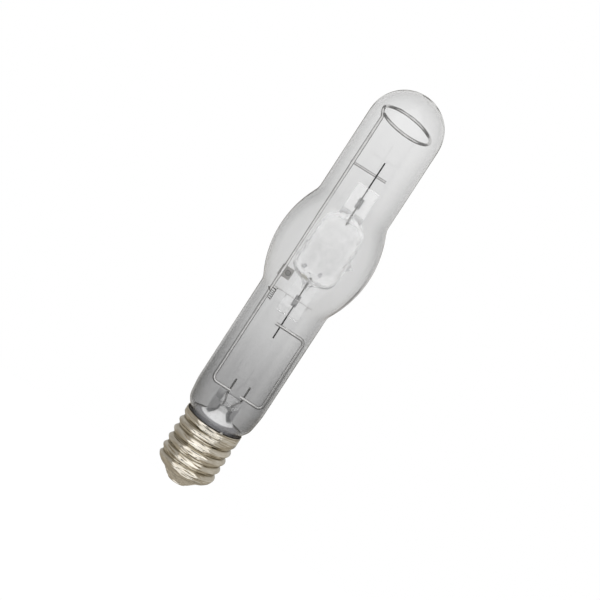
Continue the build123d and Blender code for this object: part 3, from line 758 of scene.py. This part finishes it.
lower_half = pinched(vessel_half(arc_r, arc_end_r))
outline = np.concatenate([lower_half[:0:-1] * [1, -1], pinched(upper_shoulder)])
neck_h = np.where(outline[:, 1] > 0, 25.0, arc_half_h + arc_end_r)
squeeze = eased(np.abs(outline[:, 1]), neck_h, pinch_start_h + 1.0)
trim_w, trim_t = np.ones((2, len(outline)))
trim_w[[1, -2]], trim_t[[1, -2]] = end_rounding, end_thinning
trim_w[[0, -1]] = trim_t[[0, -1]] = 0
half_w = (outline[:, 0] * (1 - squeeze) + pinch_half_w * squeeze) * trim_w
half_t = (outline[:, 0] * (1 - squeeze) + pinch_half_t * squeeze) * trim_t
vessel_outer = flattened(
    0 * half_w + arc_x, half_w, half_t, 2 + 3 * squeeze, outline[:, 1] + arc_z, 144
)
# The pip rises from the side wall as a bell of its own height and radius.
from_pip = np.hypot(vessel_outer[..., 1], vessel_outer[..., 2] - pip_z)
on_pip_side = vessel_outer[..., 0] > arc_x + 5
vessel_outer[..., 0] += np.where(on_pip_side, pip_h * np.exp(-((from_pip / pip_r) ** 2.4) * 1.3), 0)
upper_hollow = [(arc_r - arc_wall, 0.0), (arc_r - arc_wall, 12.6), (12.2, 18.6), (6.4, 23.6)]


def pocketed(hollow):
    """A hollow's line carried on up the small pocket round the electrode's foot, to the axis."""
    pocket = [[pocket_r, pocket_start_h + 1.6], [pocket_r, pocket_end_h - 1.2]]
    end = [[pocket_r * 0.8, pocket_end_h - 0.3], [0.0, pocket_end_h]]
    return np.concatenate([flow(np.concatenate([hollow, pocket]), 0.6, 0.8), end])


lower_hollow = pocketed(vessel_half(arc_r - arc_wall, arc_end_r - arc_wall))
inner_outline = np.concatenate([lower_hollow[:0:-1] * [1, -1], pocketed(upper_hollow)])
inner_outline += [0, arc_z]
vessel = skin(
    "arc_tube_quartz", vessel_outer, turned(inner_outline, 112, (arc_x, 0.0))[::-1]
)

# Fused quartz: clear in the middle; where the wall is seen edge-on and towards the ends, most at the
# upper one, less light goes through and the rest is matt white, as a painted highlight. Its hot-worked
# surface is softly rippled.
quartz, tree, place = new_material("fused_quartz")
height = add_node(tree, "ShaderNodeSeparateXYZ", {"Vector": place})
from_middle = add_node(
    tree, "ShaderNodeMath", {0: height.outputs["Z"], 1: arc_z * mm}, operation="SUBTRACT"
)
distance = add_node(tree, "ShaderNodeMath", {0: from_middle.outputs[0]}, operation="ABSOLUTE")
end_highlight_reach = add_node(
    tree,
    "ShaderNodeMapRange",
    {
        "Value": distance.outputs[0],
        "From Min": 19 * mm,
        "From Max": 34 * mm,
        "To Min": 0.0,
        "To Max": 0.15,
    },
)
facing = add_node(tree, "ShaderNodeLayerWeight", {"Blend": 0.5})
edge_highlight = add_node(
    tree,
    "ShaderNodeMapRange",
    {
        "Value": facing.outputs["Facing"],
        "From Min": 0.2,
        "From Max": 0.7,
        "To Min": 0.98,
        "To Max": 0.72,
    },
)
upper_end = add_node(
    tree,
    "ShaderNodeMapRange",
    {
        "Value": from_middle.outputs[0],
        "From Min": -30 * mm,
        "From Max": 30 * mm,
        "To Min": 0.35,
        "To Max": 1.0,
    },
)
end_highlight = add_node(
    tree, "ShaderNodeMath", {0: end_highlight_reach.outputs[0], 1: upper_end.outputs[0]}, operation="MULTIPLY"
)
# Painted highlight: less of the light goes through at the edges and the ends, and the rest shows as matt
# white.
clear_share = add_node(
    tree,
    "ShaderNodeMath",
    {0: edge_highlight.outputs[0], 1: end_highlight.outputs[0]},
    operation="SUBTRACT",
)
ripple = add_node(
    tree, "ShaderNodeTexNoise", {"Vector": place, "Scale": 0.26 / mm, "Detail": 2.0}
)
ripple_bump = add_node(
    tree,
    "ShaderNodeBump",
    {"Strength": 0.25, "Distance": 1.5 * mm, "Height": ripple.outputs[0]},
)
quartz_grey = add_node(
    tree,
    "ShaderNodeValToRGB",
    {"Fac": ripple.outputs[0]},
    stops=[(0.3, colour("#f7f7f7")), (0.6, colour("#ffffff"))],
)
shader = add_node(
    tree,
    "ShaderNodeBsdfPrincipled",
    {
        "Base Color": quartz_grey.outputs[0],
        "Transmission Weight": clear_share.outputs[0],
        "Roughness": 0.02,
        "IOR": 1.28,
        "Normal": ripple_bump.outputs[0],
    },
)
add_node(tree, "ShaderNodeOutputMaterial", {"Surface": shader.outputs[0]})
dress(vessel, quartz, ["arc_tube"], "quartz")
vessel.visible_shadow = False

# Foils and leads of the arc tube. Molybdenum foil, a tenth of a millimetre thick, carries the
# current through each pinch, with the outer lead and the electrode rod welded on its front.

# Rolled molybdenum: a satin grey, with creases about 1 mm apart that catch the light.
molybdenum = mottled(
    "molybdenum_foil",
    fineness=0.9,
    detail=2.0,
    stops=[(0.35, colour("#6a6a6a")), (0.65, colour("#9c9c9c"))],
    finish={"Metallic": 1.0, "Roughness": 0.35},
    bump=(0.3, 0.5 * mm),
)
for name in ("upper_foil", "lower_foil"):
    dress(nodes[name], molybdenum)

# Oxidised molybdenum: nearly black, in patches.
molybdenum_rod = mottled(
    "oxidised_molybdenum_rod",
    fineness=0.7,
    detail=3.0,
    stops=[(0.3, colour("#2e2e2f")), (0.7, colour("#4e4e4f"))],
    finish={"Metallic": 1.0, "Roughness": 0.45},
)
for name in ("upper_lead", "lower_lead"):
    dress(nodes[name], molybdenum_rod)

# Fill. Two drops of mercury and a crust of metal halide salts lie on the wall at the lower end of
# the chamber, where they settle when the lamp cools.

# Mercury: a silver mirror, dulled a little by patches of skin.
mercury = mottled(
    "mercury_drop",
    fineness=0.6,
    detail=2.0,
    stops=[(0.4, colour("#c4c4c6")), (0.7, colour("#ececed"))],
    finish={"Metallic": 1.0, "Roughness": 0.08},
)
dress(nodes["mercury_drops"], mercury)

# Frozen salts: a matt yellowish white crust of crumbs.
salts = mottled(
    "halide_salt_crust",
    fineness=1.5,
    detail=4.0,
    stops=[(0.3, colour("#b5b2a6")), (0.7, colour("#dedbd0"))],
    finish={"Roughness": 0.6},
    bump=(0.8, 0.6 * mm),
)
dress(nodes["halide_salts"], salts)

# Screw shell. Thin brass sheet, rolled to the E40 thread on a mandrel, curled in at its end over
# the insulator and plated with nickel. The thread runs out before the rim.
major_r, minor_r, pitch, valley_z = 19.65, 17.95, 6.35, 36.0
thread_first, thread_last, run_in, run_out = -3.75, 0.5, 0.25, 0.4
shell_wall, rim_z = 0.35, 46.0
shell_end = [(13.4, 6.6), (16.0, 7.9), (18.3, 10.0), (19.65, 13.0)]


def groove(z, turn):
    """How deep the groove is at a height and a share of a turn, and how much painted shade lies there,
    both nought to one.

    The groove's middle climbs by the pitch for each turn. Across it the depth follows a cosine
    from crest to valley to crest, and fades in and out along the helix. The painted shade is a narrower
    line along the valley: a high power of the same cosine.
    """
    level = (z - valley_z) / pitch
    nearest = np.round(level - turn)
    cosine = 0.5 + 0.5 * np.cos(2 * pi * (level - turn - nearest))
    along = nearest + turn
    cut = eased(along, thread_first - run_in, thread_first)
    fade = np.minimum(cut, 1 - eased(along, thread_last, thread_last + run_out))
    return fade * cosine**0.9, np.minimum(3 * fade, 1) * cosine**9


end_curve = flow(shell_end + [(major_r, 16.0)], 0.4, 0.5)
body_z = np.linspace(16.0, rim_z, 150)[1:]
shell_profile = np.concatenate([end_curve, np.stack([0 * body_z + major_r, body_z], 1)])
shell_angle = np.linspace(0, 2 * pi, 160, endpoint=False)
shell_z = shell_profile[:, 1:] + 0 * shell_angle
depth = groove(shell_z, shell_angle / (2 * pi))[0]
outer_r = np.minimum(shell_profile[:, :1], major_r - (major_r - minor_r) * depth)
outer_grid = np.stack([outer_r * np.cos(shell_angle), outer_r * np.sin(shell_angle), shell_z], -1)
inner_r = outer_r - shell_wall
inner_grid = np.stack([inner_r * np.cos(shell_angle), inner_r * np.sin(shell_angle), shell_z], -1)
shell = skin(
    "screw_shell_sheet",
    np.concatenate([outer_grid, inner_grid[::-1], outer_grid[:1]]),
)

# Painted shade: each point of the sheet keeps how much shade is painted in its valley.
flat_points = np.empty(3 * len(shell.data.vertices))
shell.data.vertices.foreach_get("co", flat_points)
shell_x, shell_y, shell_up = flat_points.reshape(-1, 3).T / mm
dirt = groove(shell_up, np.arctan2(shell_y, shell_x) / (2 * pi) % 1)[1]
shell.data.attributes.new("groove_dirt", "FLOAT", "POINT").data.foreach_set("value", dirt)

# Nickel plating over brass: a warm, bright mirror, rubbed in patches by handling. The rolling left
# ripples that break up what it mirrors, and a brownish painted shade darkens the valleys.
cap_nickel, tree, place = new_material("nickel_plated_brass")
rubs_across, rubs_up = 0.12 / mm, 0.5 / mm
rubbing = add_node(
    tree, "ShaderNodeMapping", {"Vector": place, "Scale": (rubs_across, rubs_across, rubs_up)}
)
wear = add_node(
    tree, "ShaderNodeTexNoise", {"Vector": rubbing.outputs[0], "Scale": 1.0, "Detail": 4.0}
)
plating = add_node(
    tree,
    "ShaderNodeValToRGB",
    {"Fac": wear.outputs[0]},
    stops=[(0.3, colour("#d6cebf")), (0.7, colour("#f8f2e6"))],
)
# Painted shade: a brownish line darkens the bottom of each valley.
dirt_line = add_node(tree, "ShaderNodeAttribute", attribute_name="groove_dirt")
valley_shaded = add_node(
    tree,
    "ShaderNodeMix",
    {0: dirt_line.outputs["Fac"], 6: plating.outputs[0], 7: colour("#8b8067")},
    data_type="RGBA",
)
cap_polish = add_node(
    tree,
    "ShaderNodeMapRange",
    {"Value": wear.outputs[0], "To Min": 0.04, "To Max": 0.2},
)
ripples_across, ripples_up = 0.085 / mm, 0.52 / mm
rolling = add_node(
    tree, "ShaderNodeMapping", {"Vector": place, "Scale": (ripples_across, ripples_across, ripples_up)}
)
ripples = add_node(
    tree, "ShaderNodeTexNoise", {"Vector": rolling.outputs[0], "Scale": 1.0, "Detail": 1.0}
)
ripple_bump = add_node(
    tree,
    "ShaderNodeBump",
    {"Strength": 1.0, "Distance": 2 * mm, "Height": ripples.outputs[0]},
)
shader = add_node(
    tree,
    "ShaderNodeBsdfPrincipled",
    {
        "Base Color": valley_shaded.outputs[2],
        "Metallic": 1.0,
        "Roughness": cap_polish.outputs[0],
        "Normal": ripple_bump.outputs[0],
    },
)
add_node(tree, "ShaderNodeOutputMaterial", {"Surface": shader.outputs[0]})
dress(shell, cap_nickel, ["screw_shell"], "cap_nickel")
dress(nodes["centre_contact"], cap_nickel)

# Insulator, solder and cement. The insulator is glazed ceramic. Soft solder joins the wires to the
# contact and to the rim, and dark baked cement fills the ring between neck and shell.

# Glazed ceramic: smooth and half glossy, grey beige with faint clouds.
glaze = mottled(
    "glazed_ceramic",
    fineness=0.5,
    detail=3.0,
    stops=[(0.3, colour("#958b79")), (0.7, colour("#b8ad99"))],
    finish={"Roughness": 0.22, "IOR": 1.5},
)
dress(nodes["cap_insulator"], glaze)

# Soft solder: bright grey metal that froze in wrinkles.
solder = mottled(
    "tin_lead_solder",
    fineness=1.4,
    detail=3.0,
    stops=[(0.3, colour("#a3a19c")), (0.7, colour("#d5d3cd"))],
    finish={"Metallic": 1.0, "Roughness": 0.35},
    bump=(0.5, 0.3 * mm),
)
for name in ("contact_solder", "side_solder"):
    dress(nodes[name], solder)

# Baked cement: rough grit, pale inside and nearly black in the line at the shell's rim.
cement, tree, place = new_material("baked_basing_cement")
grit = add_node(
    tree, "ShaderNodeTexNoise", {"Vector": place, "Scale": 1.2 / mm, "Detail": 4.0}
)
flat_place = add_node(
    tree,
    "ShaderNodeVectorMath",
    {0: place, 1: (1, 1, 0)},
    operation="MULTIPLY",
)
from_axis = add_node(tree, "ShaderNodeVectorMath", {0: flat_place.outputs[0]}, operation="LENGTH")
baked = add_node(
    tree,
    "ShaderNodeMapRange",
    {"Value": from_axis.outputs["Value"], "From Min": 17.6 * mm, "From Max": 18 * mm},
)
dark_grit = add_node(
    tree,
    "ShaderNodeValToRGB",
    {"Fac": grit.outputs[0]},
    stops=[(0.3, colour("#1d1b19")), (0.7, colour("#3a3631"))],
)
pale_grit = add_node(
    tree,
    "ShaderNodeValToRGB",
    {"Fac": grit.outputs[0]},
    stops=[(0.3, colour("#a3a19c")), (0.7, colour("#c9c7c2"))],
)
cement_grey = add_node(
    tree,
    "ShaderNodeMix",
    {0: baked.outputs[0], 6: pale_grit.outputs[0], 7: dark_grit.outputs[0]},
    data_type="RGBA",
)
grit_bump = add_node(
    tree, "ShaderNodeBump", {"Strength": 0.7, "Distance": 0.5 * mm, "Height": grit.outputs[0]}
)
shader = add_node(
    tree,
    "ShaderNodeBsdfPrincipled",
    {"Base Color": cement_grey.outputs[2], "Roughness": 0.9, "Normal": grit_bump.outputs[0]},
)
add_node(tree, "ShaderNodeOutputMaterial", {"Surface": shader.outputs[0]})
dress(nodes["basing_cement"], cement)

# Studio. A white room with a pale floor below the lamp, soft lamps above it and plain grey boards
# that only metal and glass mirror. The camera looks a little down at the lamp.
floor_z, floor_half = -250.0, 900.0
floor_corners = np.array([[-1, -1], [1, -1], [1, 1], [-1, 1]]) * floor_half
floor_mesh = bpy.data.meshes.new("studio_floor")
floor_mesh.from_pydata(np.hstack([floor_corners, np.full((4, 1), floor_z)]) * mm, [], [(0, 1, 2, 3)])
floor = bpy.data.objects.new("studio_floor", floor_mesh)
bpy.context.scene.collection.objects.link(floor)


def mirrored(tree, way):
    """What a mirrored ray has come from and where it looks, as shares of nought and one.

    In turn: it is mirrored at all. No glass face lies on its way, as off the cap or the bulb's own
    gloss. Four lie on it, as in, off a wire and out again. Its level bearing is within 47 degrees
    of the camera's side, eased out by 60.
    """
    ray = add_node(tree, "ShaderNodeLightPath")
    reflected = add_node(
        tree, "ShaderNodeMath", {0: ray.outputs["Glossy Depth"], 1: 0.5}, operation="GREATER_THAN"
    )
    faces_passed = ray.outputs["Transmission Depth"]
    off_cap = add_node(tree, "ShaderNodeMath", {0: faces_passed, 1: 0.5}, operation="LESS_THAN")
    off_wire = add_node(tree, "ShaderNodeMath", {0: faces_passed, 1: 4.0, 2: 0.5}, operation="COMPARE")
    level_way = add_node(tree, "ShaderNodeVectorMath", {0: way, 1: (1, 1, 0)}, operation="MULTIPLY")
    bearing = add_node(tree, "ShaderNodeVectorMath", {0: level_way.outputs[0]}, operation="NORMALIZE")
    bearing_parts = add_node(tree, "ShaderNodeSeparateXYZ", {"Vector": bearing.outputs[0]})
    ahead = add_node(
        tree,
        "ShaderNodeMapRange",
        {
            "Value": bearing_parts.outputs["Y"],
            "From Min": -0.68,
            "From Max": -0.5,
            "To Min": 1.0,
            "To Max": 0.0,
        },
    )
    return [node.outputs[0] for node in (reflected, off_cap, off_wire, ahead)]


# Painted floor: white where the camera sees it, straight on or through glass, with the object's
# shadow on it; in mirrors beige to the sides and white ahead, and a middle grey for the wires.
floor_white, tree, place = new_material("painted_studio_floor")
reflected, off_cap, off_wire, ahead = mirrored(tree, place)
ray = add_node(tree, "ShaderNodeLightPath")
seen = add_node(
    tree,
    "ShaderNodeMath",
    {0: ray.outputs["Is Camera Ray"], 1: ray.outputs["Is Transmission Ray"]},
    operation="MAXIMUM",
)
glow = add_node(tree, "ShaderNodeEmission", {"Color": colour("#f6f6f6"), "Strength": 1.0})
shade = add_node(tree, "ShaderNodeBsdfDiffuse", {"Color": colour("#5a5a5a")})
lit = add_node(tree, "ShaderNodeAddShader", {0: glow.outputs[0], 1: shade.outputs[0]})
paint = add_node(tree, "ShaderNodeBsdfDiffuse", {"Color": colour("#e8e8e8")})
floor_grey = add_node(
    tree,
    "ShaderNodeMix",
    {0: ahead, 6: colour("#a39d91"), 7: colour("#ffffff")},
    data_type="RGBA",
)
wire_grey = add_node(
    tree,
    "ShaderNodeMix",
    {0: off_wire, 6: colour("#f4f4f4"), 7: colour("#6e6d6b")},
    data_type="RGBA",
)
board_grey = add_node(
    tree,
    "ShaderNodeMix",
    {0: off_cap, 6: wire_grey.outputs[2], 7: floor_grey.outputs[2]},
    data_type="RGBA",
)
board = add_node(tree, "ShaderNodeEmission", {"Color": board_grey.outputs[2], "Strength": 1.0})
unmirrored = add_node(
    tree,
    "ShaderNodeMixShader",
    {0: seen.outputs[0], 1: paint.outputs[0], 2: lit.outputs[0]},
)
surface = add_node(
    tree,
    "ShaderNodeMixShader",
    {0: reflected, 1: unmirrored.outputs[0], 2: board.outputs[0]},
)
add_node(tree, "ShaderNodeOutputMaterial", {"Surface": surface.outputs[0]})
floor_mesh.materials.append(floor_white)

# White walls. What the cap mirrors is a warm grey to the sides and, ahead, a soft box that fades
# from grey at the level to a little over white above. What the wires mirror is white ahead and
# behind and grey to the sides, so that a dark line runs along their edges.
world = bpy.data.worlds.new("white_room")
bpy.context.scene.world = world
world.use_nodes = True
tree = world.node_tree
tree.nodes.clear()
direction = add_node(tree, "ShaderNodeTexCoord")
reflected, off_cap, off_wire, ahead = mirrored(tree, direction.outputs["Generated"])
parts = add_node(tree, "ShaderNodeSeparateXYZ", {"Vector": direction.outputs["Generated"]})
side_share = add_node(
    tree,
    "ShaderNodeMapRange",
    {"Value": parts.outputs["X"], "From Min": -1.0, "From Max": 1.0},
)
side_grey = add_node(
    tree,
    "ShaderNodeValToRGB",
    {"Fac": side_share.outputs[0]},
    stops=[(0.0, colour("#a5a39f")), (1.0, colour("#c0beb9"))],
)
above = add_node(
    tree,
    "ShaderNodeMapRange",
    {"Value": parts.outputs["Z"], "From Min": 0.03, "From Max": 0.2},
)
soft_box = add_node(
    tree,
    "ShaderNodeMix",
    {0: above.outputs[0], 6: colour("#606060"), 7: (1.2, 1.2, 1.2, 1.0)},
    data_type="RGBA",
)
cap_boards = add_node(
    tree,
    "ShaderNodeMix",
    {0: ahead, 6: side_grey.outputs[0], 7: soft_box.outputs[2]},
    data_type="RGBA",
)
depth_share = add_node(
    tree,
    "ShaderNodeMapRange",
    {"Value": parts.outputs["Y"], "From Min": -1.0, "From Max": 1.0},
)
wire_boards = add_node(
    tree,
    "ShaderNodeValToRGB",
    {"Fac": depth_share.outputs[0]},
    stops=[
        (0.32, colour("#ffffff")),
        (0.42, colour("#686868")),
        (0.8, colour("#686868")),
        (0.88, colour("#ffffff")),
    ],
)
other_boards = add_node(
    tree,
    "ShaderNodeMix",
    {0: off_cap, 6: colour("#f4f4f4"), 7: cap_boards.outputs[2]},
    data_type="RGBA",
)
boards = add_node(
    tree,
    "ShaderNodeMix",
    {0: off_wire, 6: other_boards.outputs[2], 7: wire_boards.outputs[0]},
    data_type="RGBA",
)
walls = add_node(
    tree,
    "ShaderNodeMix",
    {0: reflected, 6: colour("#ffffff"), 7: boards.outputs[2]},
    data_type="RGBA",
)
ray = add_node(tree, "ShaderNodeLightPath")
straight = add_node(
    tree,
    "ShaderNodeMath",
    {0: ray.outputs["Is Camera Ray"], 1: ray.outputs["Is Transmission Ray"]},
    operation="MAXIMUM",
)
seen = add_node(
    tree,
    "ShaderNodeMath",
    {0: straight.outputs[0], 1: ray.outputs["Is Glossy Ray"]},
    operation="MAXIMUM",
)
# The walls are white to look at and light matt surfaces at half that strength.
level = add_node(
    tree,
    "ShaderNodeMapRange",
    {"Value": seen.outputs[0], "To Min": 0.5, "To Max": 1.0},
)
light = add_node(
    tree, "ShaderNodeBackground", {"Color": walls.outputs[2], "Strength": level.outputs[0]}
)
add_node(tree, "ShaderNodeOutputWorld", {"Surface": light.outputs[0]})


def soft_lamp(name, place, aim, size, power):
    """An area lamp whose own -Z axis looks from its place to its aim."""
    lamp = bpy.data.lights.new(name, "AREA")
    lamp.shape, lamp.size, lamp.energy = "DISK", size, power
    holder = bpy.data.objects.new(name, lamp)
    back = np.array(place, float) - np.array(aim, float)
    back /= np.linalg.norm(back)
    side = np.cross([0.0, 0.0, 1.0], back)
    side /= np.linalg.norm(side)
    turn = np.eye(4)
    turn[:3, :3] = np.stack([side, np.cross(back, side), back], 1)
    turn[:3, 3] = place
    holder.matrix_world = Matrix(turn)
    holder.visible_glossy = holder.visible_transmission = False
    bpy.context.scene.collection.objects.link(holder)


soft_lamp("key_lamp", (-1.2, -1.6, 1.6), (0, 0, 0.15), 1.0, 34.0)
soft_lamp("fill_lamp", (1.6, -1.0, 0.9), (0, 0, 0.15), 1.2, 16.0)
soft_lamp("back_lamp", (0.3, 1.8, 1.4), (0, 0, 0.15), 1.0, 16.0)

# The photograph is taken from far off with a long lens, 14.5 degrees above the lamp's waist, and
# rolled by 33 degrees, so that the lamp leans to the right. The point on the lamp's axis at the
# aimed height shows at the given pixel of its 600.
tilt, roll_sin, roll_cos = radians(14.5), 0.54577, 0.83793
mm_per_pixel, distance_mm, picture = 0.62, 8000.0, 600
aim_z, pixel_x, pixel_y = 152.1, 305.017, 282.558
look = np.array([0.0, np.cos(tilt), -np.sin(tilt)])
up = np.array([0.0, np.sin(tilt), np.cos(tilt)])
right = np.array([1.0, 0.0, 0.0])
camera_right = roll_cos * right + roll_sin * up
camera_up = roll_cos * up - roll_sin * right
off_middle = (pixel_x - picture / 2) * camera_right + (picture / 2 - pixel_y) * camera_up
aim = np.array([0, 0, aim_z]) - mm_per_pixel * off_middle
stand = np.eye(4)
stand[:3, :3] = np.stack([camera_right, camera_up, -look], 1)
stand[:3, 3] = (aim - distance_mm * look) * mm
camera_data = bpy.data.cameras.new("camera")
camera_data.sensor_width = 36.0
camera_data.lens = camera_data.sensor_width * distance_mm / (picture * mm_per_pixel)
camera_data.clip_end = 100.0
camera = bpy.data.objects.new("camera", camera_data)
camera.matrix_world = Matrix(stand)
bpy.context.scene.collection.objects.link(camera)
bpy.context.scene.camera = camera
bpy.context.scene.view_settings.view_transform = "Standard"

bpy.context.view_layer.update()
